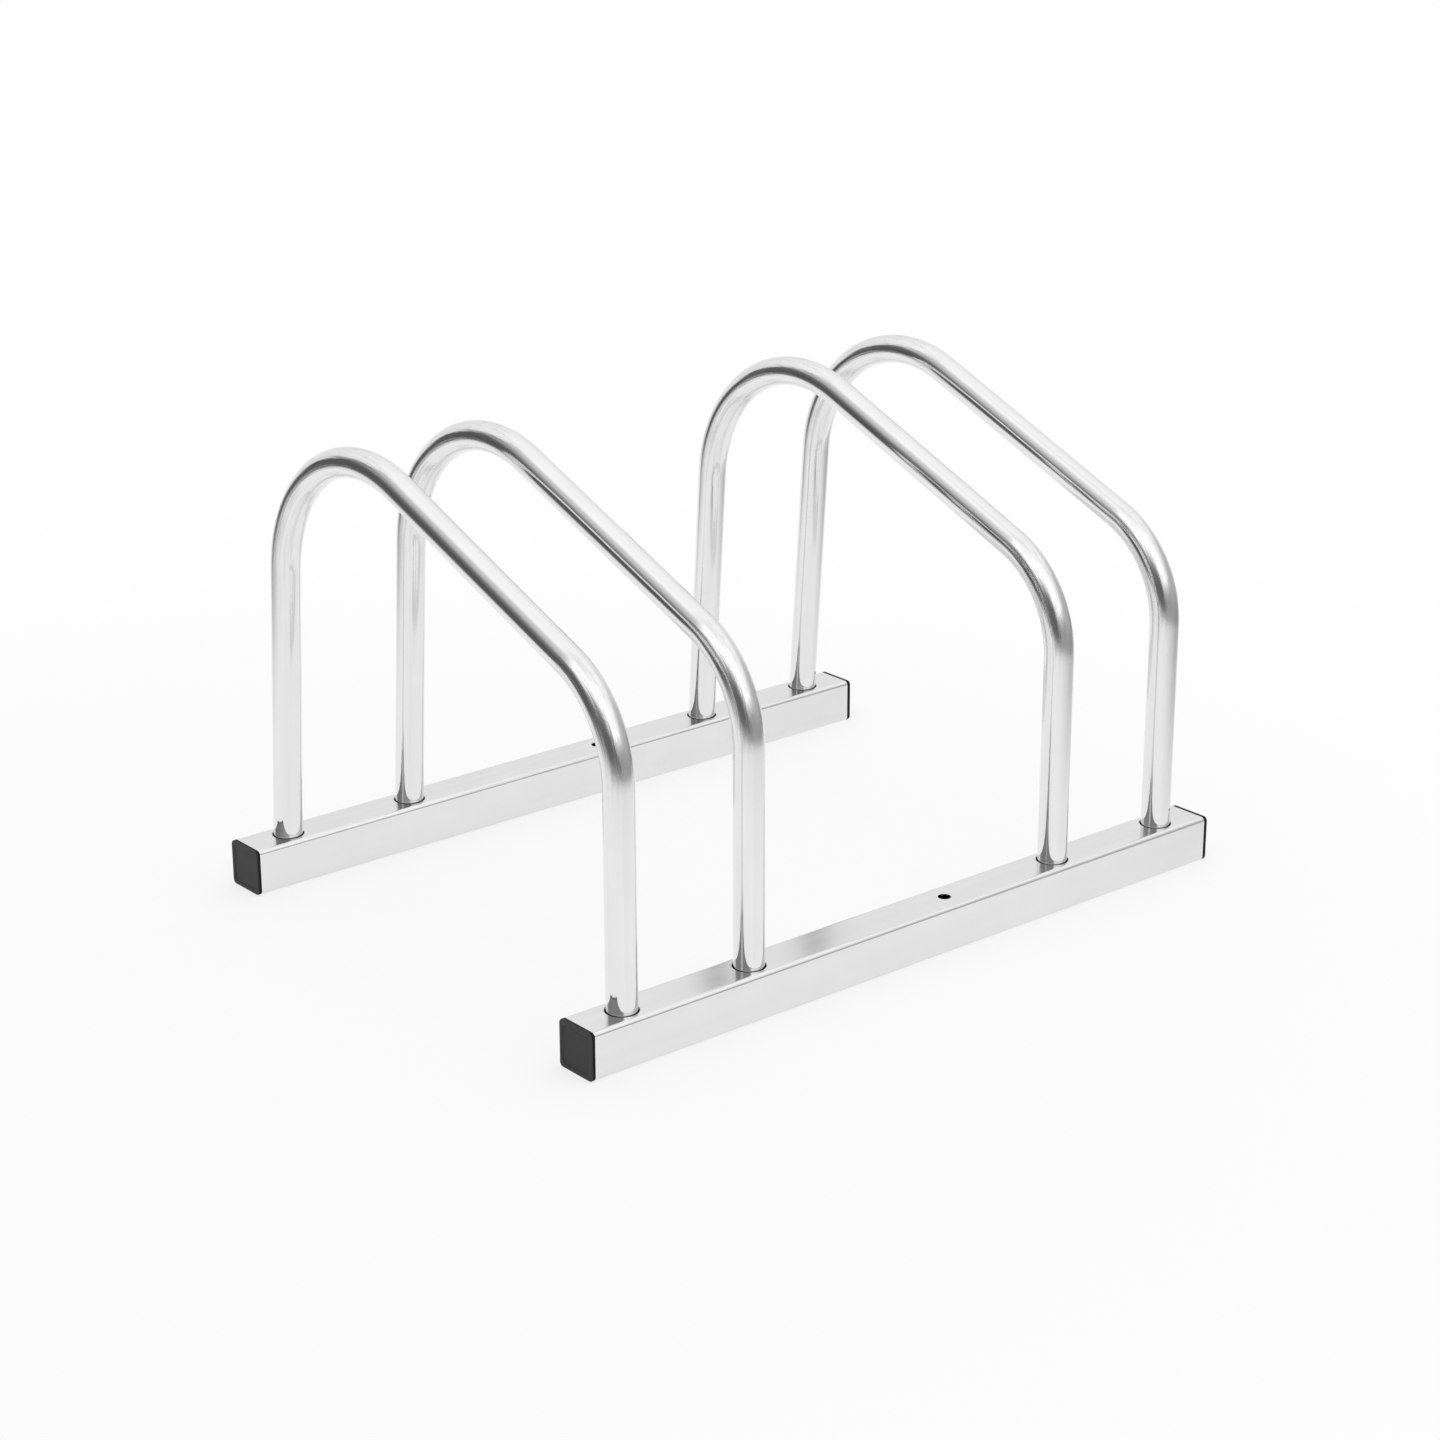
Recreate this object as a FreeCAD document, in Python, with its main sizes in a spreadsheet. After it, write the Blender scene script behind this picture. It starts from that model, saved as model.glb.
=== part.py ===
import FreeCAD, Part
import math
import os
import Sketcher

# Floor bike rack: two square rails lie on the floor, and four bent tube hoops stand in them in two
# pairs. A wheel rolls over the front rail and stands in the slot between the hoops of a pair.
# +X runs along the rails, +Y from the front rail to the rear rail, +Z up. The origin is on the
# floor, in the middle of the rack. Lengths are in millimetres and angles in degrees.

SIZES = {
    # rails
    "rail_spacing": 294.0,  # between the middles of the two rails
    "rail_wall": 1.2,
    "rail_corner": 2.5,  # outer corner radius
    "rail_end_rounding": 0.4,  # of the cut ends' outer edges
    "anchor_hole_diameter": 7.0,  # for a floor bolt, through each rail
    "anchor_hole_offset": 27.0,  # from the rail's middle, towards the right
    # hoops
    "bay_pitch": 292.0,  # from the middle of one wheel slot to the middle of the other
    "slot_pitch": 80.0,  # between the tube axes of a pair of hoops
    "tube_diameter": 15.9,
    "tube_wall": 1.0,
    "front_leg_height": 139.0,  # from the floor to where the front bend starts
    "front_bend_radius": 58.0,  # on the tube's axis
    "slope_angle": 21.4,  # of the straight between the bends, above level
    "rear_bend_radius": 80.0,
    "rear_leg_lean": 4.1,  # of the rear leg, forwards from upright
    # punched leg holes
    "leg_hole_clearance": 0.55,  # all round the tube
    "leg_hole_margin": 1.7,  # flat left beside the hole
    "leg_hole_lip": 0.4,  # rounding that the punch leaves
    # threaded plugs in the leg ends
    "plug_length": 18.0,
    "plug_flange": 1.6,
    "plug_fit": 0.05,  # all round, inside the tube
    "plug_groove_depth": 0.5,
    "plug_groove_width": 1.6,
    "plug_lead_in": 0.8,
    # leg screws
    "screw_diameter": 6.0,
    "screw_length": 20.0,
    "screw_head_diameter": 12.0,
    "screw_head_rim": 0.4,
    "screw_tip_chamfer": 0.8,
    "thread_fit": 0.05,  # all round, between screw and plug
    "socket_width": 4.0,  # across flats
    "socket_depth": 1.9,
    # pressed countersinks in the rail's underside
    "screw_hole_clearance": 0.3,  # all round the screw
    "head_recess": 0.4,  # of the screw head above the floor
    "head_play": 0.15,  # between the head's cone and its seat, along the screw
    "seat_land": 0.8,  # straight part of the hole above the countersink
    # end caps
    "cap_flange": 2.4,
    "cap_rounding": 0.8,
    "cap_rim": 2.0,
    "cap_dish_depth": 0.6,
    "sleeve_length": 14.0,
    "sleeve_wall": 1.6,
    "sleeve_gap": 0.7,  # between sleeve and rail, bridged by the ribs
    "sleeve_corner": 1.6,
    "sleeve_lead_in": 0.6,
    "sleeve_end_gap": 3.7,  # from the sleeve's tip to the outer leg hole
    "rib_fit": 0.05,  # between ribs and rail
    "rib_width": 1.2,
}
RIB_COUNT = 3
GROOVE_COUNT = 2
SIDES = {"left": -1, "right": 1}
PLACES = {"outer": 1, "inner": -1}

doc = FreeCAD.newDocument("floor_bike_rack")
sheet = doc.addObject("Spreadsheet::Sheet", "Sizes")
for row, (alias, value) in enumerate(SIZES.items(), start=1):
    sheet.set(f"A{row}", alias)
    sheet.set(f"B{row}", str(value))
    sheet.setAlias(f"B{row}", alias)
doc.recompute()

# Sizes that follow from the ones above, as expressions on the sheet.
LEAN = "(Sizes.rear_leg_lean * 1 deg)"
TUBE_RADIUS = "(Sizes.tube_diameter / 2)"
LEG_HOLE = "(Sizes.tube_diameter + 2 * Sizes.leg_hole_clearance)"
RAIL_SECTION = f"({LEG_HOLE} + 2 * (Sizes.leg_hole_margin + Sizes.rail_corner))"
RAIL_LENGTH = (
    "(Sizes.bay_pitch + Sizes.slot_pitch"
    f" + {LEG_HOLE} + 2 * (Sizes.sleeve_end_gap + Sizes.sleeve_length))"
)
RAIL_BORE = f"({RAIL_SECTION} - 2 * Sizes.rail_wall)"
RAIL_BORE_CORNER = "max(Sizes.rail_corner - Sizes.rail_wall; 0.2)"
SCREW_HOLE = "(Sizes.screw_diameter + 2 * Sizes.screw_hole_clearance)"
SINK = (
    "(Sizes.screw_head_diameter"
    " + 2 * (Sizes.screw_head_rim + Sizes.head_recess + Sizes.head_play))"
)
SEAT_HEIGHT = f"(({SINK} - {SCREW_HOLE}) / 2 + Sizes.seat_land)"
DIMPLE = f"({SINK} + 2 * (sqrt(2) - 1) * Sizes.rail_wall)"
REAR_FOOT_SHIFT = f"(({RAIL_SECTION} - {SEAT_HEIGHT}) * tan({LEAN}))"
SLEEVE = f"({RAIL_BORE} - 2 * Sizes.sleeve_gap)"


def measure(expression):
    """The value of an expression on the sheet, in millimetres or radians."""
    value = sheet.evalExpression(expression)
    if not isinstance(value, FreeCAD.Units.Quantity):
        return float(value)
    return float(value.getValueAs("rad") if value.Unit.Type == "Angle" else value.Value)


def addBody(label, x="0", y="0", z="0", turn=0):
    """A body at a place given by expressions, turned about the vertical."""
    body = doc.addObject("PartDesign::Body", label)
    body.Label = label
    body.Placement.Rotation = FreeCAD.Rotation(FreeCAD.Vector(0, 0, 1), turn)
    for axis, expression in (("x", x), ("y", y), ("z", z)):
        body.setExpression(f"Placement.Base.{axis}", expression)
    return body


def addSketch(body, name, plane, offset="0", lean="0 deg"):
    """A sketch on one of its body's origin planes, moved along the normal and turned about it."""
    sketch = body.newObject("Sketcher::SketchObject", name)
    support = next(f for f in body.Origin.OriginFeatures if f.Role == plane)
    sketch.AttachmentSupport = [(support, "")]
    sketch.MapMode = "FlatFace"
    sketch.setExpression("AttachmentOffset.Base.z", offset)
    sketch.setExpression("AttachmentOffset.Rotation.Angle", lean)
    return sketch


def constrain(sketch, kind, *where):
    return sketch.addConstraint(Sketcher.Constraint(kind, *where))


def dimension(sketch, expression, kind, *where):
    """A dimension that starts at the expression's value and follows it."""
    index = constrain(sketch, kind, *where, measure(expression))
    sketch.setExpression(f"Constraints[{index}]", expression)


def placePoint(sketch, geometry, point, x, y):
    """Holds a point at a distance from each of the sketch's axes, or on the axis."""
    for kind, expression, axis in (("DistanceX", x, -2), ("DistanceY", y, -1)):
        if expression == "0":
            constrain(sketch, "PointOnObject", geometry, point, axis)
        else:
            dimension(sketch, expression, kind, -1, 1, geometry, point)


def circleAbout(centre, diameter):
    return Part.Circle(centre, FreeCAD.Vector(0, 0, 1), measure(diameter) / 2)


def drawCircle(sketch, diameter, x="0", y="0", mirrored=False):
    """A circle, and if mirrored its twin across the sketch's vertical axis."""
    centre = FreeCAD.Vector(measure(x), measure(y), 0)
    circle = sketch.addGeometry(circleAbout(centre, diameter))
    placePoint(sketch, circle, 3, x, y)
    dimension(sketch, diameter, "Diameter", circle)
    if mirrored:
        centre.x = -centre.x
        twin = sketch.addGeometry(circleAbout(centre, diameter))
        constrain(sketch, "Equal", circle, twin)
        constrain(sketch, "Symmetric", circle, 3, twin, 3, -2)


def drawRoundedSquare(sketch, width, corner):
    """A square about the sketch's origin: four sides joined by four tangent corner arcs."""
    half = measure(width) / 2
    radius = measure(corner)
    flat = half - radius
    sides = []
    corners = []
    for turn in range(4):
        spin = FreeCAD.Rotation(FreeCAD.Vector(0, 0, 1), 90 * turn)
        start = spin.multVec(FreeCAD.Vector(half, -flat, 0))
        end = spin.multVec(FreeCAD.Vector(half, flat, 0))
        circle = circleAbout(spin.multVec(FreeCAD.Vector(flat, flat, 0)), f"2 * {corner}")
        arc = Part.ArcOfCircle(circle, turn * math.pi / 2, (turn + 1) * math.pi / 2)
        sides.append(sketch.addGeometry(Part.LineSegment(start, end)))
        corners.append(sketch.addGeometry(arc))
    for turn in range(4):
        constrain(sketch, "Tangent", sides[turn], 2, corners[turn], 1)
        constrain(sketch, "Tangent", corners[turn], 2, sides[(turn + 1) % 4], 1)
        constrain(sketch, "Horizontal" if turn % 2 else "Vertical", sides[turn])
    for arc in corners[1:]:
        constrain(sketch, "Equal", corners[0], arc)
    constrain(sketch, "Symmetric", corners[0], 3, corners[2], 3, -1, 1)
    dimension(sketch, f"{width} / 2", "DistanceX", -1, 1, sides[0], 1)
    dimension(sketch, f"{width} / 2", "DistanceY", -1, 1, sides[1], 1)
    dimension(sketch, corner, "Radius", corners[0])


def drawOutline(sketch, points):
    """A closed outline of straight sides through points given by expressions."""
    places = [FreeCAD.Vector(measure(x), measure(y), 0) for x, y in points]
    ends = places[1:] + places[:1]
    lines = [sketch.addGeometry(Part.LineSegment(a, b)) for a, b in zip(places, ends)]
    for index, (x, y) in enumerate(points):
        constrain(sketch, "Coincident", lines[index - 1], 2, lines[index], 1)
        placePoint(sketch, lines[index], 1, x, y)


def addFeature(body, kind, name, profile):
    feature = body.newObject(f"PartDesign::{kind}", name)
    feature.Profile = profile
    return feature


def addPad(body, name, sketch, length, reverse=False):
    pad = addFeature(body, "Pad", name, sketch)
    pad.setExpression("Length", length)
    pad.Reversed = reverse
    return pad


def addPocket(body, name, sketch, length, reverse=False):
    """A pocket, which has to take some of the body away."""
    doc.recompute()
    before = body.Shape.Volume
    pocket = addFeature(body, "Pocket", name, sketch)
    pocket.setExpression("Length", length)
    pocket.Reversed = reverse
    doc.recompute()
    if body.Shape.Volume > before - 0.01:
        raise RuntimeError(f"{name} cuts nothing")
    return pocket


def addRevolution(body, name, sketch):
    turned = addFeature(body, "Revolution", name, sketch)
    turned.ReferenceAxis = (sketch, ["V_Axis"])
    turned.Angle = 360
    return turned


def addEdgeFeature(body, kind, name, base, size, chosen):
    """A Fillet or Chamfer on the base feature's edges that the chosen test picks."""
    doc.recompute()
    edges = [f"Edge{i}" for i, edge in enumerate(base.Shape.Edges, start=1) if chosen(edge)]
    feature = body.newObject(f"PartDesign::{kind}", name)
    feature.Base = (base, edges)
    feature.setExpression("Radius" if kind == "Fillet" else "Size", size)
    return feature


def legPlace(side, place):
    """Where a hoop stands along the rack."""
    return f"({SIDES[side]} * (Sizes.bay_pitch + {PLACES[place]} * Sizes.slot_pitch) / 2)"


def makeRail(label, y, foot_shift):
    """A square tube with leg holes, a floor-bolt hole and pressed countersinks. The body's origin
    is in the middle of the tube."""
    body = addBody(label, y=y, z=f"{RAIL_SECTION} / 2")
    half = f"({RAIL_SECTION} / 2)"
    section = addSketch(body, f"{label}_section", "YZ_Plane")
    drawRoundedSquare(section, RAIL_SECTION, "Sizes.rail_corner")
    drawRoundedSquare(section, RAIL_BORE, RAIL_BORE_CORNER)
    tube = addPad(body, f"{label}_tube", section, RAIL_LENGTH)
    tube.Midplane = True

    def onOuterEnd(edge):
        box = edge.BoundBox
        reach = max(abs(box.YMin), abs(box.YMax), abs(box.ZMin), abs(box.ZMax))
        return box.XLength < 0.001 and reach > measure(RAIL_BORE) / 2 + 0.001

    rounding = "min(Sizes.rail_end_rounding; Sizes.rail_wall / 2)"
    addEdgeFeature(body, "Fillet", f"{label}_end_rounding", tube, rounding, onOuterEnd)

    dimples = addSketch(body, f"{label}_dimple_circles", "XY_Plane", f"Sizes.rail_wall - {half}")
    holes = addSketch(body, f"{label}_leg_hole_circles", "XY_Plane", half)
    sinks = addSketch(body, f"{label}_screw_hole_circles", "XY_Plane", f"-{half}")
    for place in PLACES:
        x = legPlace("right", place)
        drawCircle(dimples, DIMPLE, x, foot_shift, mirrored=True)
        drawCircle(holes, LEG_HOLE, x, mirrored=True)
        drawCircle(sinks, SCREW_HOLE, x, foot_shift, mirrored=True)
    rise = f"{SEAT_HEIGHT} - Sizes.rail_wall"
    addPad(body, f"{label}_dimples", dimples, rise).TaperAngle = -45
    punched = addPocket(body, f"{label}_leg_holes", holes, "2 * Sizes.rail_wall")

    def onHoleRim(edge):
        ring = isinstance(edge.Curve, Part.Circle) and edge.isClosed()
        return ring and abs(edge.Curve.Center.z - measure(half)) < 0.001

    lip = "min(Sizes.leg_hole_lip; Sizes.rail_wall / 2)"
    addEdgeFeature(body, "Fillet", f"{label}_leg_hole_lips", punched, lip, onHoleRim)

    anchor = addSketch(body, f"{label}_anchor_circle", "XY_Plane", half)
    drawCircle(anchor, "Sizes.anchor_hole_diameter", "Sizes.anchor_hole_offset")
    addPocket(body, f"{label}_anchor_hole", anchor, RAIL_SECTION)

    screws = addFeature(body, "Hole", f"{label}_screw_holes", sinks)
    screws.Reversed = True
    screws.DepthType = "Dimension"
    screws.DrillPoint = "Flat"
    screws.setExpression("Depth", f"{SEAT_HEIGHT} + Sizes.rail_wall")
    screws.setExpression("Diameter", SCREW_HOLE)
    screws.HoleCutType = "Countersink"
    screws.HoleCutCustomValues = True
    screws.HoleCutCountersinkAngle = 90
    screws.setExpression("HoleCutDiameter", SINK)


def makeHoop(label, x):
    """A tube bent twice. The body's origin is on the tube's axis, at the front leg's cut end."""
    cut_height = f"({SEAT_HEIGHT} + Sizes.plug_flange)"
    front_rise = f"(Sizes.front_leg_height - {cut_height})"
    foot_place = f"(Sizes.rail_spacing + {REAR_FOOT_SHIFT})"
    body = addBody(label, x=x, y="-Sizes.rail_spacing / 2", z=cut_height)
    path = addSketch(body, f"{label}_path", "YZ_Plane")

    # The bends' sizes are known, and so is where both legs stand. What is left between them is the
    # length of the slope and of the rear leg.
    lean = measure(LEAN)
    slope = measure("Sizes.slope_angle * 1 deg")
    normal = slope + math.pi / 2
    front_radius = measure("Sizes.front_bend_radius")
    rear_radius = measure("Sizes.rear_bend_radius")
    flange = measure("Sizes.plug_flange")

    def polar(radius, angle):
        return FreeCAD.Vector(radius * math.cos(angle), radius * math.sin(angle), 0)

    start = FreeCAD.Vector(0, 0, 0)
    front_top = FreeCAD.Vector(0, measure(front_rise), 0)
    front_centre = front_top + polar(front_radius, 0)
    slope_start = front_centre + polar(front_radius, normal)
    foot = FreeCAD.Vector(measure(foot_place), -flange, 0)
    along = polar(1, slope)
    down = polar(1, lean - math.pi / 2)
    bend = polar(rear_radius, lean) - polar(rear_radius, normal)
    reach = foot - slope_start - bend
    slope_length = reach.cross(down).z / along.cross(down).z
    slope_end = slope_start + along * slope_length
    rear_centre = slope_end - polar(rear_radius, normal)
    rear_top = rear_centre + polar(rear_radius, lean)
    rear_end = foot - down * flange

    front_circle = circleAbout(front_centre, "2 * Sizes.front_bend_radius")
    rear_circle = circleAbout(rear_centre, "2 * Sizes.rear_bend_radius")
    front_leg = path.addGeometry(Part.LineSegment(start, front_top))
    front_bend = path.addGeometry(Part.ArcOfCircle(front_circle, normal, math.pi))
    straight = path.addGeometry(Part.LineSegment(slope_start, slope_end))
    rear_bend = path.addGeometry(Part.ArcOfCircle(rear_circle, lean, normal))
    rear_leg = path.addGeometry(Part.LineSegment(rear_end, rear_top))
    seat = path.addGeometry(Part.LineSegment(foot, rear_end), True)
    constrain(path, "Coincident", front_leg, 1, -1, 1)
    constrain(path, "Vertical", front_leg)
    constrain(path, "Tangent", front_leg, 2, front_bend, 2)
    constrain(path, "Tangent", front_bend, 1, straight, 1)
    constrain(path, "Tangent", straight, 2, rear_bend, 2)
    constrain(path, "Tangent", rear_bend, 1, rear_leg, 2)
    constrain(path, "Coincident", seat, 2, rear_leg, 1)
    constrain(path, "Parallel", seat, rear_leg)
    dimension(path, front_rise, "DistanceY", -1, 1, front_leg, 2)
    dimension(path, "Sizes.front_bend_radius", "Radius", front_bend)
    dimension(path, "Sizes.rear_bend_radius", "Radius", rear_bend)
    dimension(path, "Sizes.slope_angle * 1 deg", "Angle", straight)
    dimension(path, f"90 deg + {LEAN}", "Angle", rear_leg)
    dimension(path, "Sizes.plug_flange", "Distance", seat)
    dimension(path, foot_place, "DistanceX", -1, 1, seat, 1)
    dimension(path, "Sizes.plug_flange", "DistanceY", seat, 1, -1, 1)

    ring = addSketch(body, f"{label}_ring", "XY_Plane")
    drawCircle(ring, "Sizes.tube_diameter")
    drawCircle(ring, "(Sizes.tube_diameter - 2 * Sizes.tube_wall)")
    doc.recompute()
    pipe = addFeature(body, "AdditivePipe", f"{label}_tube", ring)
    pipe.Spine = (path, [f"Edge{index}" for index in range(1, 6)])


def makePlug(label, x, y, lean):
    """A threaded plug pressed into a leg's end. Its barrel and flange follow the leg, while its
    foot and its thread stay square to the rail. The body's origin is in the middle of the foot."""
    body = addBody(label, x=x, y=y, z=SEAT_HEIGHT)
    radius = f"({TUBE_RADIUS} - Sizes.tube_wall - Sizes.plug_fit)"
    neck = f"({radius} - Sizes.plug_groove_depth)"
    spare = "-Sizes.plug_flange"
    outline = [("0", spare), (TUBE_RADIUS, spare), (TUBE_RADIUS, "Sizes.plug_flange")]
    outline.append((radius, "Sizes.plug_flange"))
    for number in range(1, GROOVE_COUNT + 1):
        share = f"{number} / {GROOVE_COUNT + 1}"
        middle = f"(Sizes.plug_flange + (Sizes.plug_length - Sizes.plug_flange) * {share})"
        low = f"({middle} - Sizes.plug_groove_width / 2)"
        high = f"({middle} + Sizes.plug_groove_width / 2)"
        outline += [(radius, low), (neck, low), (neck, high), (radius, high)]
    outline.append((radius, "(Sizes.plug_length - Sizes.plug_lead_in)"))
    outline.append((f"({radius} - Sizes.plug_lead_in)", "Sizes.plug_length"))
    outline.append(("0", "Sizes.plug_length"))
    profile = addSketch(body, f"{label}_profile", "YZ_Plane", lean=lean)
    drawOutline(profile, outline)
    addRevolution(body, f"{label}_stock", profile)

    foot = addSketch(body, f"{label}_foot_circle", "XY_Plane")
    drawCircle(foot, "3 * Sizes.tube_diameter")
    addPocket(body, f"{label}_foot", foot, "3 * Sizes.plug_flange")
    thread = addSketch(body, f"{label}_thread_circle", "XY_Plane")
    drawCircle(thread, "(Sizes.screw_diameter + 2 * Sizes.thread_fit)")
    addPocket(body, f"{label}_thread", thread, "2 * Sizes.plug_length", reverse=True)


def makeScrew(label, x, y):
    """A countersunk socket screw. The body's origin is in the middle of the head's face."""
    body = addBody(label, x=x, y=y, z="Sizes.head_recess")
    head = "(Sizes.screw_head_diameter / 2)"
    shank = "(Sizes.screw_diameter / 2)"
    neck = f"(Sizes.screw_head_rim + {head} - {shank})"
    profile = addSketch(body, f"{label}_profile", "XZ_Plane")
    drawOutline(profile, [
        ("0", "0"),
        (head, "0"),
        (head, "Sizes.screw_head_rim"),
        (shank, neck),
        (shank, "(Sizes.screw_length - Sizes.screw_tip_chamfer)"),
        (f"({shank} - Sizes.screw_tip_chamfer)", "Sizes.screw_length"),
        ("0", "Sizes.screw_length"),
    ])
    addRevolution(body, f"{label}_blank", profile)
    corner = "(Sizes.socket_width / sqrt(3))"
    flat = "(Sizes.socket_width / 2)"
    socket = addSketch(body, f"{label}_hexagon", "XY_Plane")
    drawOutline(socket, [
        (corner, "0"),
        (f"{corner} / 2", flat),
        (f"-{corner} / 2", flat),
        (f"-{corner}", "0"),
        (f"-{corner} / 2", f"-{flat}"),
        (f"{corner} / 2", f"-{flat}"),
    ])
    addPocket(body, f"{label}_socket", socket, "Sizes.socket_depth", reverse=True)


def makeCap(label, side, y):
    """A plug for a rail's end: a dished flange, and a hollow sleeve whose ribs grip the rail. The
    body's origin is in the middle of the rail's end, and its +X points out of the rail."""
    x = f"{SIDES[side]} * {RAIL_LENGTH} / 2"
    body = addBody(label, x=x, y=y, z=f"{RAIL_SECTION} / 2", turn=90 - 90 * SIDES[side])
    plate = addSketch(body, f"{label}_flange_square", "YZ_Plane")
    drawRoundedSquare(plate, RAIL_SECTION, "Sizes.rail_corner")
    flange = addPad(body, f"{label}_flange", plate, "Sizes.cap_flange")

    def onFace(edge):
        return edge.BoundBox.XMin > measure("Sizes.cap_flange") - 0.001

    rounding = "Sizes.cap_rounding"
    addEdgeFeature(body, "Fillet", f"{label}_rounding", flange, rounding, onFace)

    dish = addSketch(body, f"{label}_dish_square", "YZ_Plane", "Sizes.cap_flange")
    drawRoundedSquare(dish, f"({RAIL_SECTION} - 2 * Sizes.cap_rim)", "Sizes.rail_corner")
    addPocket(body, f"{label}_dish", dish, "Sizes.cap_dish_depth").TaperAngle = -45

    tube = addSketch(body, f"{label}_sleeve_square", "YZ_Plane")
    drawRoundedSquare(tube, SLEEVE, "Sizes.sleeve_corner")
    sleeve = addPad(body, f"{label}_sleeve", tube, "Sizes.sleeve_length", reverse=True)

    def onTip(edge):
        return edge.BoundBox.XMax < 0.001 - measure("Sizes.sleeve_length")

    lead_in = "Sizes.sleeve_lead_in"
    addEdgeFeature(body, "Chamfer", f"{label}_lead_in", sleeve, lead_in, onTip)

    bore = addSketch(body, f"{label}_bore_square", "YZ_Plane", "-Sizes.sleeve_length")
    bore_corner = "max(Sizes.sleeve_corner - Sizes.sleeve_wall; 0.3)"
    drawRoundedSquare(bore, f"({SLEEVE} - 2 * Sizes.sleeve_wall)", bore_corner)
    addPocket(body, f"{label}_bore", bore, "Sizes.sleeve_length", reverse=True)

    pitch = f"(Sizes.sleeve_length / {RIB_COUNT + 1})"
    ring = addSketch(body, f"{label}_rib_ring", "YZ_Plane", f"-{pitch}")
    drawRoundedSquare(ring, f"({RAIL_BORE} - 2 * Sizes.rib_fit)", RAIL_BORE_CORNER)
    drawRoundedSquare(ring, f"({SLEEVE} - Sizes.sleeve_wall)", "Sizes.sleeve_corner")
    rib = addPad(body, f"{label}_rib", ring, "Sizes.rib_width", reverse=True)
    doc.recompute()
    ribs = body.newObject("PartDesign::LinearPattern", f"{label}_ribs")
    ribs.Originals = [rib]
    along = next(f for f in body.Origin.OriginFeatures if f.Role == "X_Axis")
    ribs.Direction = (along, [""])
    ribs.Reversed = True
    ribs.setExpression("Length", f"{pitch} * {RIB_COUNT - 1}")
    ribs.Occurrences = RIB_COUNT
    body.Tip = ribs


FRONT = "(-Sizes.rail_spacing / 2)"
REAR = "(Sizes.rail_spacing / 2)"
makeRail("front_rail", FRONT, "0")
makeRail("rear_rail", REAR, REAR_FOOT_SHIFT)
for side in SIDES:
    makeCap(f"front_{side}_cap", side, FRONT)
    makeCap(f"rear_{side}_cap", side, REAR)
    for place in PLACES:
        hoop = f"{side}_{place}"
        x = legPlace(side, place)
        makeHoop(f"{hoop}_hoop", x)
        makePlug(f"{hoop}_front_plug", x, FRONT, "0 deg")
        makePlug(f"{hoop}_rear_plug", x, f"{REAR} + {REAR_FOOT_SHIFT}", LEAN)
        makeScrew(f"{hoop}_front_screw", x, FRONT)
        makeScrew(f"{hoop}_rear_screw", x, f"{REAR} + {REAR_FOOT_SHIFT}")
doc.recompute()

for item in doc.Objects:
    if "Invalid" in item.State or "Error" in item.State:
        raise RuntimeError(f"{item.Label} failed: {item.State}")
pieces = [item for item in doc.Objects if item.TypeId == "PartDesign::Body"]
for piece in pieces:
    shape = piece.Shape
    if shape.isNull() or not shape.isValid() or len(shape.Solids) != 1:
        raise RuntimeError(f"{piece.Label} is not one valid solid")

os.makedirs("parts", exist_ok=True)
for piece in pieces:
    piece.Shape.exportStep(f"parts/{piece.Label}.step")
    box = piece.Shape.BoundBox
    print(f"{piece.Label}: {piece.Shape.Volume:.0f} mm3,"
          f" x {box.XMin:.1f} to {box.XMax:.1f}, y {box.YMin:.1f} to {box.YMax:.1f},"
          f" z {box.ZMin:.2f} to {box.ZMax:.2f}")
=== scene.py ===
import math

import bmesh
import bpy
from mathutils import Matrix, Vector


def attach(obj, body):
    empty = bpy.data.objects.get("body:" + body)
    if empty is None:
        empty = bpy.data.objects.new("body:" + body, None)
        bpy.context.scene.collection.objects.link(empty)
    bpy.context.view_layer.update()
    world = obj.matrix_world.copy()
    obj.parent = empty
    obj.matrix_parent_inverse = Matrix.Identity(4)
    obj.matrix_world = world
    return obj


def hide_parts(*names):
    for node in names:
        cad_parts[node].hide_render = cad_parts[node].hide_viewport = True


# Floor bike rack. Metres, +X along the rails, +Y from the low front of the hoops to their high
# rear, +Z up, and the floor at zero.

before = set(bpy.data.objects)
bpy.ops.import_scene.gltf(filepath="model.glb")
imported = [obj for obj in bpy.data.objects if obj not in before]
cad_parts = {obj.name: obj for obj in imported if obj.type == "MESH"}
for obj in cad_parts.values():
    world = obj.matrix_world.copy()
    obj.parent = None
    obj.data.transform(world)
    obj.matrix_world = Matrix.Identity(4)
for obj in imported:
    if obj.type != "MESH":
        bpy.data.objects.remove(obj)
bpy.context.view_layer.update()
print("frame loaded:", len(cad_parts), "nodes")


class Wire:
    # one value or colour on its way between shader nodes; sums on it add Math nodes
    def __init__(self, shading, socket):
        self.shading = shading
        self.socket = socket

    def __add__(self, other):
        return self.shading.maths("ADD", self, other)

    def __radd__(self, other):
        return self.shading.maths("ADD", other, self)

    def __sub__(self, other):
        return self.shading.maths("SUBTRACT", self, other)

    def __rsub__(self, other):
        return self.shading.maths("SUBTRACT", other, self)

    def __mul__(self, other):
        return self.shading.maths("MULTIPLY", self, other)

    def __rmul__(self, other):
        return self.shading.maths("MULTIPLY", other, self)

    def __truediv__(self, other):
        return self.shading.maths("DIVIDE", self, other)

    def __rtruediv__(self, other):
        return self.shading.maths("DIVIDE", other, self)


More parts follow.
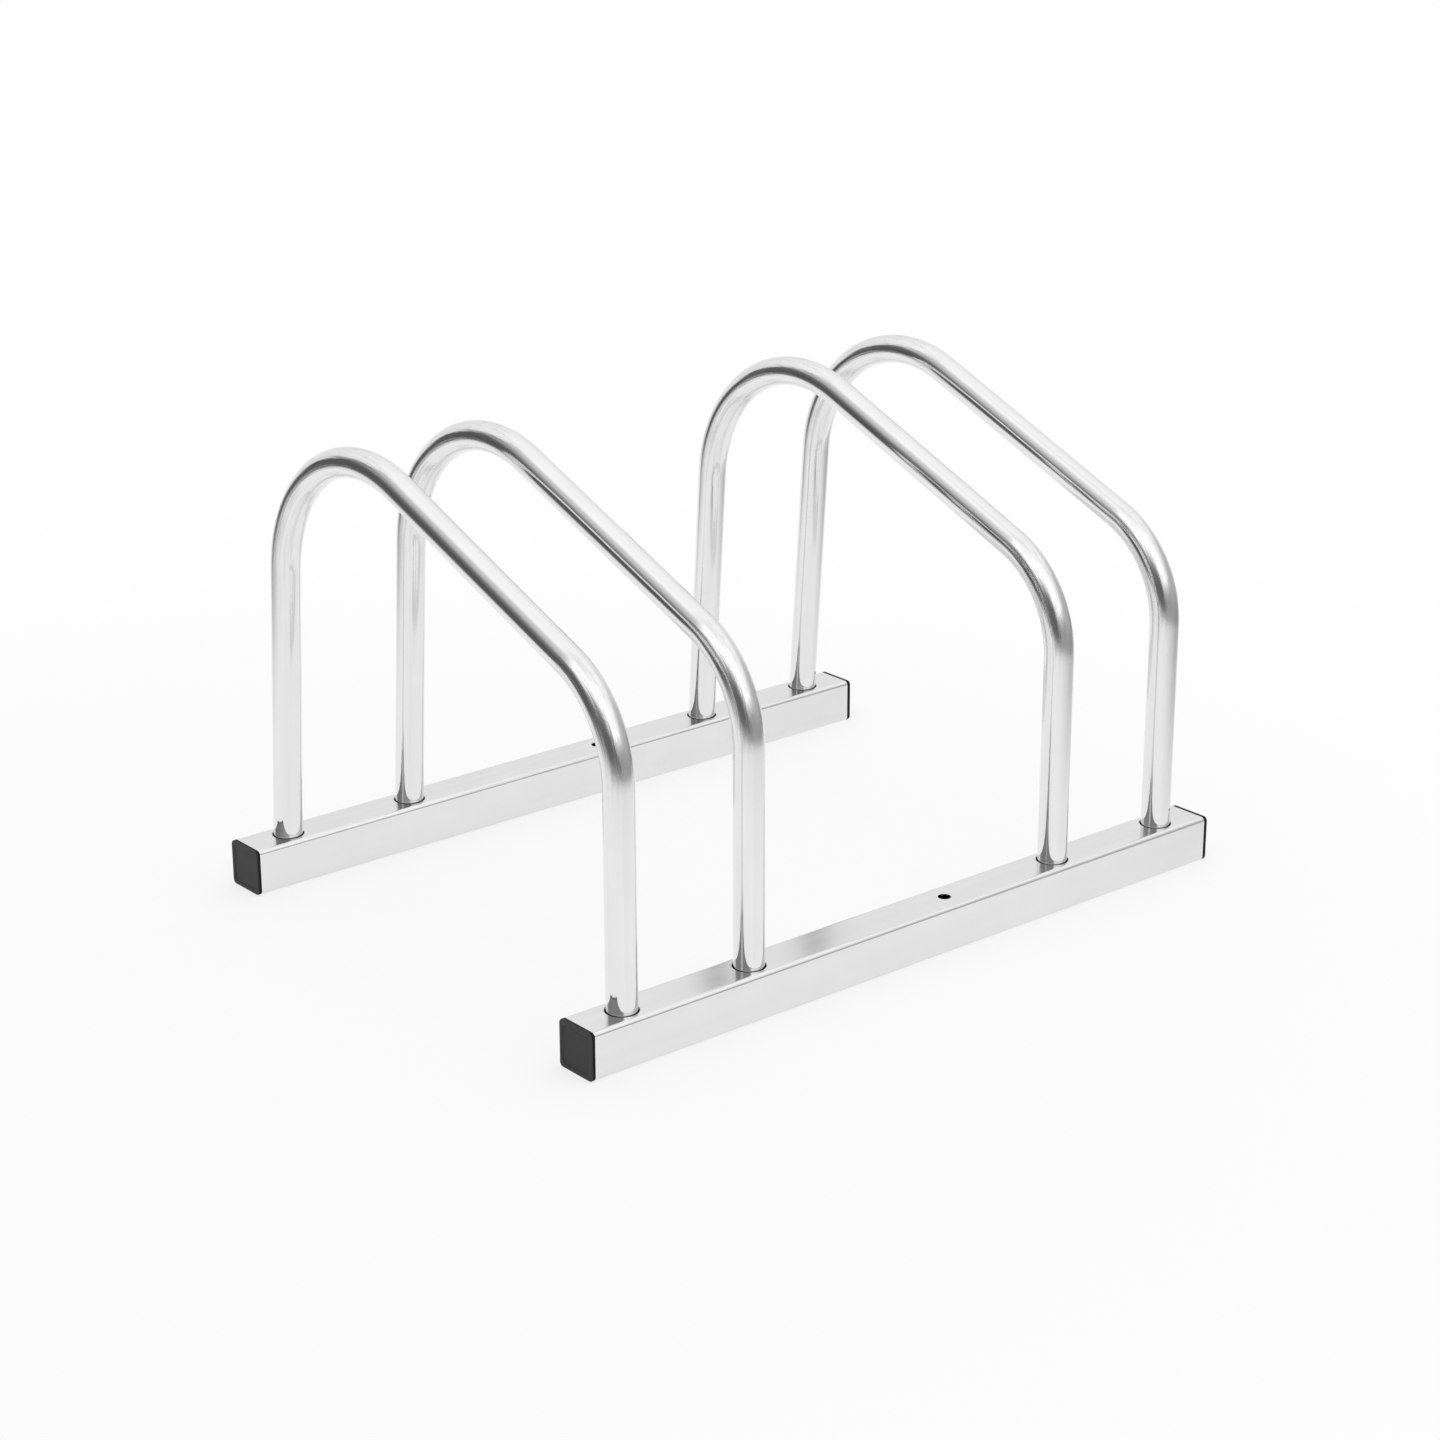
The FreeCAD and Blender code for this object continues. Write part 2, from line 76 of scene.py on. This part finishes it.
class Shading:
    # the node tree of one material or of the world
    def __init__(self, owner):
        owner.use_nodes = True
        self.tree = owner.node_tree
        self.tree.nodes.clear()

    def node(self, kind, settings=None, values=None, output=0):
        made = self.tree.nodes.new("ShaderNode" + kind)
        for name, setting in (settings or {}).items():
            if name == "stops":
                self.setStops(made.color_ramp, setting)
            else:
                setattr(made, name, setting)
        for name, value in (values or {}).items():
            if isinstance(value, Wire):
                self.tree.links.new(value.socket, made.inputs[name])
            else:
                made.inputs[name].default_value = value
        return Wire(self, made.outputs[output])

    def maths(self, operation, *values):
        return self.node("Math", {"operation": operation}, dict(enumerate(values)))

    def setStops(self, ramp, stops):
        while len(ramp.elements) < len(stops):
            ramp.elements.new(0.5)
        for element, (position, level) in zip(ramp.elements, stops):
            element.position = position
            element.color = (level, level, level, 1)

    def smooth(self, value, low, high):
        # 0 below low, 1 above high, and an easy curve between
        values = {"Value": value, "From Min": low, "From Max": high}
        return self.node("MapRange", {"interpolation_type": "SMOOTHSTEP"}, values)

    def split(self, vector):
        made = self.node("SeparateXYZ", None, {"Vector": vector}).socket.node
        return [Wire(self, output) for output in made.outputs]

    def join(self, x, y, z):
        return self.node("CombineXYZ", None, {"X": x, "Y": y, "Z": z})

    def noise(self, place, scale, detail=2.0, roughness=0.5):
        values = {"Vector": place, "Scale": scale, "Detail": detail, "Roughness": roughness}
        return self.node("TexNoise", None, values)

    def mixColor(self, factor, first, second):
        settings = {"data_type": "RGBA"}
        return self.node("Mix", settings, {0: factor, 6: first, 7: second}, output=2)

    def bump(self, height, strength, distance, normal=None):
        values = {"Height": height, "Strength": strength, "Distance": distance}
        if normal:
            values["Normal"] = normal
        return self.node("Bump", None, values)

    def finish(self, shader, kind="OutputMaterial"):
        output = self.tree.nodes.new("ShaderNode" + kind)
        self.tree.links.new(shader.socket, output.inputs["Surface"])


def newMaterial(name):
    material = bpy.data.materials.new(name)
    return material, Shading(material)


def pickVerts(geometry):
    return [item for item in geometry if isinstance(item, bmesh.types.BMVert)]


def addPiece(name, bm, material):
    # a finished mesh object at the origin, with smooth faces and sharp corners
    mesh = bpy.data.meshes.new(name)
    bm.to_mesh(mesh)
    bm.free()
    mesh.shade_smooth()
    mesh.set_sharp_from_angle(angle=math.radians(32))  # keeps the tubes' cut ends crisp
    mesh.materials.append(material)
    piece = bpy.data.objects.new(name, mesh)
    bpy.context.collection.objects.link(piece)
    return piece


camera = {
    "sensor": 36,  # mm
    "lens": 81.66,  # mm
    "place": (-1.0605, -1.2723, 0.6967),
    "azimuth": -39.76,  # which way it looks, from +Y towards -X
    "elevation": 20.17,
    "roll": -0.15,
    "nearest": 0.05,  # what is nearer or farther than these isn't drawn
    "farthest": 30,
}


def placeCamera(sizes):
    data = bpy.data.cameras.new("camera")
    data.sensor_width = sizes["sensor"]
    data.lens = sizes["lens"]
    data.clip_start = sizes["nearest"]
    data.clip_end = sizes["farthest"]
    eye = bpy.data.objects.new("camera", data)
    turn = Matrix.Rotation(math.radians(sizes["azimuth"]), 4, "Z")
    tilt = Matrix.Rotation(math.radians(90 - sizes["elevation"]), 4, "X")
    roll = Matrix.Rotation(math.radians(sizes["roll"]), 4, "Z")
    eye.matrix_world = Matrix.Translation(sizes["place"]) @ turn @ tilt @ roll
    bpy.context.collection.objects.link(eye)
    bpy.context.scene.camera = eye


placeCamera(camera)
print("camera placed")

studio = {
    "wallRadius": 3.0,
    "wallLow": -1.6,
    "wallHigh": 14.0,
    "wallSides": 96,
    "floorRadius": 2.2,
    "floorSides": 128,
    "floorMiddle": -0.15,  # along X
    "floorWhite": 0.97,
    "floorGrain": 900.0,
    "floorFadeStart": 0.28,  # how far from its middle the floor starts to fade out
    "floorFadeEnd": 1.00,
    "shadowShare": 0.30,  # how much of the object's shadow the floor shows
}

# How bright the room is by height, as (degrees above level, brightness), for each part of the
# wall.
roomLight = {
    "front": [(-25, 0.66), (-12, 0.54), (-4, 0.40), (3, 0.37), (8, 0.37), (12, 0.43),
              (16, 0.56), (20, 0.80), (24, 1.24), (60, 1.30), (72, 1.12)],
    "frontLeft": [(-25, 0.72), (-12, 0.62), (-5, 0.38), (2, 0.15), (10, 0.13), (18, 0.15),
                  (24, 0.21), (29, 0.35), (34, 0.72), (40, 1.24), (60, 1.28), (72, 1.10)],
    "rearLeft": [(-20, 0.60), (-13, 0.23), (-8, 0.13), (3, 0.09), (14, 0.12), (24, 0.21),
                 (33, 0.42), (42, 0.60), (52, 0.73), (62, 0.94), (72, 1.08)],
    "rear": [(-20, 1.00), (0, 0.90), (20, 0.88), (45, 1.00), (65, 1.10)],
    "right": [(-20, 0.36), (-7, 0.33), (1, 0.38), (6, 0.47), (16, 0.50), (22, 0.56), (30, 0.70),
              (36, 0.90), (44, 1.04), (55, 1.10), (65, 1.10)],
}
# Where one part of the wall gives way to the next, in degrees from +Y towards +X, and how far
# that moves for each degree above level.
roomTurns = [
    ("frontLeft", -172, -156, -0.45),
    ("rearLeft", -82, -66, 0.0),
    ("rear", -20, -4, 0.7),
    ("right", 74, 100, 0.0),
    ("front", 124, 170, 0.0),
]


def makeWallMaterial():
    material, shading = newMaterial("studioWallLight")
    place = shading.node("TexCoord", output=3)
    x, y, z = shading.split(place)
    azimuth = shading.maths("ARCTAN2", x, y) * (180 / math.pi)
    flat = shading.maths("SQRT", x * x + y * y)
    height = shading.maths("ARCTAN2", z, flat) * (180 / math.pi)
    share = (height + 90) / 180
    above = shading.maths("MAXIMUM", height, 0.0)

    def partLight(part):
        stops = [((angle + 90) / 180, level) for angle, level in roomLight[part]]
        return shading.node("ValToRGB", {"stops": stops}, {"Fac": share})

    light = partLight("front")
    for part, start, end, lean in roomTurns:
        turned = shading.smooth(azimuth + above * lean, start, end)
        light = shading.mixColor(turned, light, partLight(part))
    shading.finish(shading.node("Emission", None, {"Color": light, "Strength": 1.0}))
    material.cycles.emission_sampling = "NONE"
    return material


def makeWall(sizes):
    # a round wall about the rack, seen only in what the metal reflects
    bm = bmesh.new()
    rim = bmesh.ops.create_circle(bm, cap_ends=False, radius=sizes["wallRadius"],
                                   segments=sizes["wallSides"])
    bmesh.ops.translate(bm, verts=rim["verts"], vec=(0, 0, sizes["wallLow"]))
    raised = bmesh.ops.extrude_edge_only(bm, edges=bm.edges[:])["geom"]
    rise = sizes["wallHigh"] - sizes["wallLow"]
    bmesh.ops.translate(bm, verts=pickVerts(raised), vec=(0, 0, rise))
    wall = addPiece("studioWall", bm, makeWallMaterial())
    wall.visible_camera = False
    wall.visible_shadow = False


def makeFloorMaterial(sizes):
    material, shading = newMaterial("floorPaper")
    place = shading.node("TexCoord", output=3)
    x, y, z = shading.split(place)
    across = x - sizes["floorMiddle"]
    distance = shading.maths("SQRT", across * across + y * y)
    far = shading.smooth(distance, sizes["floorFadeStart"], sizes["floorFadeEnd"])
    grain = shading.noise(place, sizes["floorGrain"], 3.0)
    shade = grain * 0.012 + (sizes["floorWhite"] - 0.006)
    paper = shading.node("BsdfDiffuse", None, {
        "Color": shading.join(shade, shade, shade),
        "Normal": shading.bump(grain, 0.05, 0.0002),
    })
    glow = shading.node("Emission", None, {"Color": (1, 1, 1, 1), "Strength": 1.0})
    clear = shading.node("BsdfTransparent")
    lightPath = shading.node("LightPath").socket.node
    isCamera = Wire(shading, lightPath.outputs["Is Camera Ray"])
    isGlossy = Wire(shading, lightPath.outputs["Is Glossy Ray"])
    isTransmission = Wire(shading, lightPath.outputs["Is Transmission Ray"])
    mirrored = shading.maths("MAXIMUM", isGlossy, isTransmission)
    share = 1 - sizes["shadowShare"]
    seen = (isCamera + mirrored) * (share + isCamera * far * (1 - share))
    reflected = mirrored * far
    lit = shading.node("MixShader", None, {0: seen, 1: paper, 2: glow})
    shading.finish(shading.node("MixShader", None, {0: reflected, 1: lit, 2: clear}))
    return material


def makeFloor(sizes):
    bm = bmesh.new()
    bmesh.ops.create_circle(bm, cap_ends=True, radius=sizes["floorRadius"],
                            segments=sizes["floorSides"])
    floor = addPiece("floor", bm, makeFloorMaterial(sizes))


def lightWorld():
    world = bpy.data.worlds.new("studio")
    bpy.context.scene.world = world
    shading = Shading(world)
    white = shading.node("Background", None, {"Color": (1, 1, 1, 1), "Strength": 1.0})
    shading.finish(white, "OutputWorld")


makeWall(studio)
makeFloor(studio)
lightWorld()
bpy.context.scene.view_settings.view_transform = "Standard"
print("studio lit")

hoop = {
    "tubeRadius": 0.00795,
    "wall": 0.001,
    "footHeight": 0.00605,  # where the cut end of the front leg sits on its plug
    "seatHeight": 0.00445,
    "flange": 0.0016,
    "railSpacing": 0.294,
    "railHeight": 0.0254,
    "frontBendStart": 0.139,
    "frontBendRadius": 0.058,
    "slopeAngle": 21.4,  # degrees
    "rearBendRadius": 0.080,
    "rearLean": 4.1,  # degrees
    "around": 96,  # faces
    "bendSteps": 56,
    "straightSteps": 14,
    "places": {"left_outer": -0.186, "left_inner": -0.106,
               "right_inner": 0.106, "right_outer": 0.186},
    "tint": 0.755,
    "roughness": 0.06,
    "lineFineness": 900.0,  # of the drawn lines; the higher, the finer
    "streakFineness": 260.0,
    "dragFineness": 520.0,  # of the marks that the bending dies leave
    "gritFineness": 950.0,
}


def hoopRun(sizes):
    # the tube's axis as (length or bend angle, bend centre) from the front leg's cut end
    slope = math.radians(sizes["slopeAngle"])
    lean = math.radians(sizes["rearLean"])
    front, rear = sizes["frontBendRadius"], sizes["rearBendRadius"]
    frontAngle = math.pi / 2 - slope
    rearAngle = math.pi / 2 + slope - lean
    start = Vector((-sizes["railSpacing"] / 2, sizes["footHeight"]))
    frontTop = Vector((start.x, sizes["frontBendStart"]))
    frontCentre = frontTop + Vector((front, 0))
    outward = Vector((-math.sin(slope), math.cos(slope)))
    along = Vector((math.cos(slope), math.sin(slope)))
    slopeStart = frontCentre + outward * front
    lower = Vector((math.sin(lean), -math.cos(lean)))
    side = Vector((math.cos(lean), math.sin(lean)))
    shift = (sizes["railHeight"] - sizes["seatHeight"]) * math.tan(lean)
    foot = Vector((sizes["railSpacing"] / 2 + shift, sizes["seatHeight"]))
    reach = foot - slopeStart - rear * (side - outward)
    slopeLength = reach.cross(lower) / along.cross(lower)
    slopeEnd = slopeStart + along * slopeLength
    rearCentre = slopeEnd - outward * rear
    rearTop = rearCentre + side * rear
    legLength = (foot - rearTop).length - sizes["flange"]
    return [
        ("straight", sizes["frontBendStart"] - sizes["footHeight"], Vector((0, 1))),
        ("bend", frontAngle, frontCentre),
        ("straight", slopeLength, along),
        ("bend", rearAngle, rearCentre),
        ("straight", legLength, lower),
    ]


def bendPlaces(sizes):
    # where the two bends start and end along the tube
    run = hoopRun(sizes)
    first = run[0][1]
    second = first + run[1][1] * sizes["frontBendRadius"]
    third = second + run[2][1]
    fourth = third + run[3][1] * sizes["rearBendRadius"]
    return first, second, third, fourth


def makeHoopSteel(sizes):
    material, shading = newMaterial("hoopSteel")
    straight = shading.node("Attribute", {"attribute_name": "straightTube"}, output=1)
    along, across, side = shading.split(straight)

    def stretched(length, fineness, detail, roughness=0.5):
        place = shading.join(along * length, across * fineness, side * fineness)
        return shading.noise(place, 1.0, detail, roughness)

    # drawn lines run along the tube, and are fine and uneven across it
    lines = stretched(1.2, sizes["lineFineness"], 4.0, 0.65)
    streaks = stretched(0.5, sizes["streakFineness"], 2.0)
    cloud = shading.noise(straight, 55.0, 3.0)
    dragged = stretched(22.0, sizes["dragFineness"], 3.0)
    # bending stretches the outer side of the tube, which loses some of its shine
    first, second, third, fourth = bendPlaces(sizes)
    frontBend = shading.smooth(along, first - 0.012, first + 0.016)
    frontBend = frontBend * (1 - shading.smooth(along, second - 0.016, second + 0.010))
    rearBend = shading.smooth(along, third - 0.010, third + 0.018)
    rearBend = rearBend * (1 - shading.smooth(along, fourth - 0.016, fourth + 0.012))
    outer = shading.smooth(across * (-1 / sizes["tubeRadius"]), -0.3, 0.9)
    bent = frontBend + rearBend
    worn = bent * outer
    peel = stretched(240.0, sizes["gritFineness"], 3.0, 0.6)
    scuffed = shading.smooth(dragged, 0.46, 0.66) * bent
    grit = shading.smooth(peel, 0.50, 0.66) * worn
    roughness = streaks * 0.05 + cloud * 0.02 + sizes["roughness"] + scuffed * 0.18 + grit * 0.12
    tint = streaks * 0.09 + cloud * 0.05 + sizes["tint"] - scuffed * 0.08 - grit * 0.07
    color = shading.join(tint, tint, tint * 1.003)
    normal = shading.bump(lines, 0.22, 0.00003)
    normal = shading.bump(streaks, 0.30, 0.00006, normal)
    normal = shading.bump(dragged * bent, 0.60, 0.00034, normal)
    normal = shading.bump(peel * worn, 0.50, 0.00014, normal)
    shading.finish(shading.node("BsdfPrincipled", None, {
        "Base Color": color, "Metallic": 1.0, "Roughness": roughness, "Normal": normal,
    }))
    return material


def makeHoop(name, x, sizes, material):
    bm = bmesh.new()
    straightPlace = bm.verts.layers.float_vector.new("straightTube")
    for radius in (sizes["tubeRadius"], sizes["tubeRadius"] - sizes["wall"]):
        bmesh.ops.create_circle(bm, cap_ends=False, radius=radius, segments=sizes["around"])
    bmesh.ops.bridge_loops(bm, edges=bm.edges[:])
    for vert in bm.verts:
        vert[straightPlace] = (0, vert.co.y, vert.co.x)
    foot = (x, -sizes["railSpacing"] / 2, sizes["footHeight"])
    bmesh.ops.translate(bm, verts=bm.verts[:], vec=foot)
    end = bm.verts[:] + bm.edges[:] + bm.faces[:]

    def countLength(length):
        for vert in pickVerts(end):
            vert[straightPlace] = vert[straightPlace] + Vector((length, 0, 0))

    bendRadii = iter((sizes["frontBendRadius"], sizes["rearBendRadius"]))
    for kind, amount, where in hoopRun(sizes):
        if kind == "straight":
            step = amount / sizes["straightSteps"]
            for number in range(sizes["straightSteps"]):
                end = bmesh.ops.extrude_face_region(bm, geom=end)["geom"]
                move = (0, where.x * step, where.y * step)
                bmesh.ops.translate(bm, verts=pickVerts(end), vec=move)
                countLength(step)
        else:
            radius = next(bendRadii)
            step = amount / sizes["bendSteps"]
            for number in range(sizes["bendSteps"]):
                end = bmesh.ops.spin(bm, geom=end, cent=(x, where.x, where.y), axis=(-1, 0, 0),
                                     angle=step, steps=1, use_duplicate=False)["geom_last"]
                countLength(radius * step)
    bmesh.ops.recalc_face_normals(bm, faces=bm.faces[:])
    return addPiece(name, bm, material)


hoopSteel = makeHoopSteel(hoop)
for label, x in hoop["places"].items():
    piece = makeHoop(f"{label}_tube", x, hoop, hoopSteel)
    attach(piece, "root")
    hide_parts(f"{label}_hoop")
print("hoops bent")

rail = {
    "spacing": 0.294,
    "height": 0.0254,
    "legHoleRadius": 0.0085,
    "legHoleShadeRim": 0.0004,  # how wide the dull rim of a leg hole, with its painted shade, is
    "tint": 0.755,
    "roughness": 0.14,
    "lineFineness": 700.0,
    "streakFineness": 130.0,
}


def makeRailSteel(sizes):
    material, shading = newMaterial("railSteel")
    place = shading.node("TexCoord", output=3)
    x, y, z = shading.split(place)
    fine, broad = sizes["lineFineness"], sizes["streakFineness"]
    lines = shading.noise(shading.join(x * 4.0, y * fine, z * fine), 1.0, 4.0, 0.6)
    streaks = shading.noise(shading.join(x * 3.0, y * broad, z * broad), 1.0, 2.0)
    cloud = shading.noise(place, 40.0, 3.0)
    # the punched rims of the leg holes are dull, and darkened with painted shade that stands in
    # for the shaded gap between leg and hole
    outward = shading.maths("ABSOLUTE", x)
    toOuter = shading.maths("ABSOLUTE", outward - hoop["places"]["right_outer"])
    toInner = shading.maths("ABSOLUTE", outward - hoop["places"]["right_inner"])
    aside = shading.maths("MINIMUM", toOuter, toInner)
    ahead = shading.maths("ABSOLUTE", y) - sizes["spacing"] / 2
    fromHole = shading.maths("SQRT", aside * aside + ahead * ahead) - sizes["legHoleRadius"]
    rim = 1 - shading.smooth(fromHole, sizes["legHoleShadeRim"] / 2, sizes["legHoleShadeRim"] * 1.5)
    rim = rim * shading.smooth(z, sizes["height"] - 0.003, sizes["height"] - 0.002)
    # painted shade: the tint is darkened by half on the leg holes' rims, where the gap around
    # each leg falls in shade
    tint = (streaks * 0.06 + cloud * 0.06 + sizes["tint"]) * (1 - rim * 0.50)
    color = shading.join(tint, tint, tint * 1.003)
    roughness = streaks * 0.05 + cloud * 0.03 + sizes["roughness"] + rim * 0.20
    normal = shading.bump(lines, 0.12, 0.00003)
    shading.finish(shading.node("BsdfPrincipled", None, {
        "Base Color": color, "Metallic": 1.0, "Roughness": roughness, "Normal": normal,
    }))
    return material


cap = {
    "edgeEnd": 0.2136,  # the dark edge turns into the end face, painted paler as if lit, between these, along X
    "faceStart": 0.2141,
    "edgeTint": 0.010,
    "paintedFaceLight": 0.056,  # painted light on the end face, added to the edge's
    "roughness": 0.30,
    "grain": 2600.0,
}


def makeCapPlastic(sizes):
    material, shading = newMaterial("capPlastic")
    place = shading.node("TexCoord", output=3)
    grain = shading.noise(place, sizes["grain"], 2.0)
    cloud = shading.noise(place, 120.0, 2.0)
    x, y, z = shading.split(place)
    # painted light: the caps' end faces are painted paler than their dark edges, as if lit
    litFace = shading.smooth(shading.maths("ABSOLUTE", x), sizes["edgeEnd"], sizes["faceStart"])
    tint = cloud * 0.010 + sizes["edgeTint"] + litFace * sizes["paintedFaceLight"]
    shading.finish(shading.node("BsdfPrincipled", None, {
        "Base Color": shading.join(tint, tint, tint),
        "Roughness": cloud * 0.10 + sizes["roughness"],
        "Specular IOR Level": 0.06,
        "Normal": shading.bump(grain, 0.18, 0.00003),
    }))
    return material


fasteners = {
    "plug": {"tint": 0.62, "cutsFineness": 2500.0},
    "screw": {"tint": 0.70, "cutsFineness": 900.0},
    "roughness": 0.26,
}


def makeTurnedSteel(name, sizes, roughness):
    material, shading = newMaterial(name)
    place = shading.node("TexCoord", output=3)
    x, y, z = shading.split(place)
    cuts = shading.join(x * 30.0, y * 30.0, z * sizes["cutsFineness"])
    rings = shading.noise(cuts, 1.0, 2.0)
    cloud = shading.noise(place, 90.0, 3.0)
    tint = cloud * 0.08 + (sizes["tint"] - 0.04)
    shading.finish(shading.node("BsdfPrincipled", None, {
        "Base Color": shading.join(tint, tint, tint * 0.99),
        "Metallic": 1.0,
        "Roughness": cloud * 0.12 + roughness,
        "Normal": shading.bump(rings, 0.2, 0.00005),
    }))
    return material


finishes = {
    "_rail": makeRailSteel(rail),
    "_cap": makeCapPlastic(cap),
    "_plug": makeTurnedSteel("plugSteel", fasteners["plug"], fasteners["roughness"]),
    "_screw": makeTurnedSteel("screwSteel", fasteners["screw"], fasteners["roughness"]),
    "_hoop": hoopSteel,
}
for node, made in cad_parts.items():
    finish = next(finishes[ending] for ending in finishes if node.endswith(ending))
    made.data.materials.clear()
    made.data.materials.append(finish)
print("finishes given")
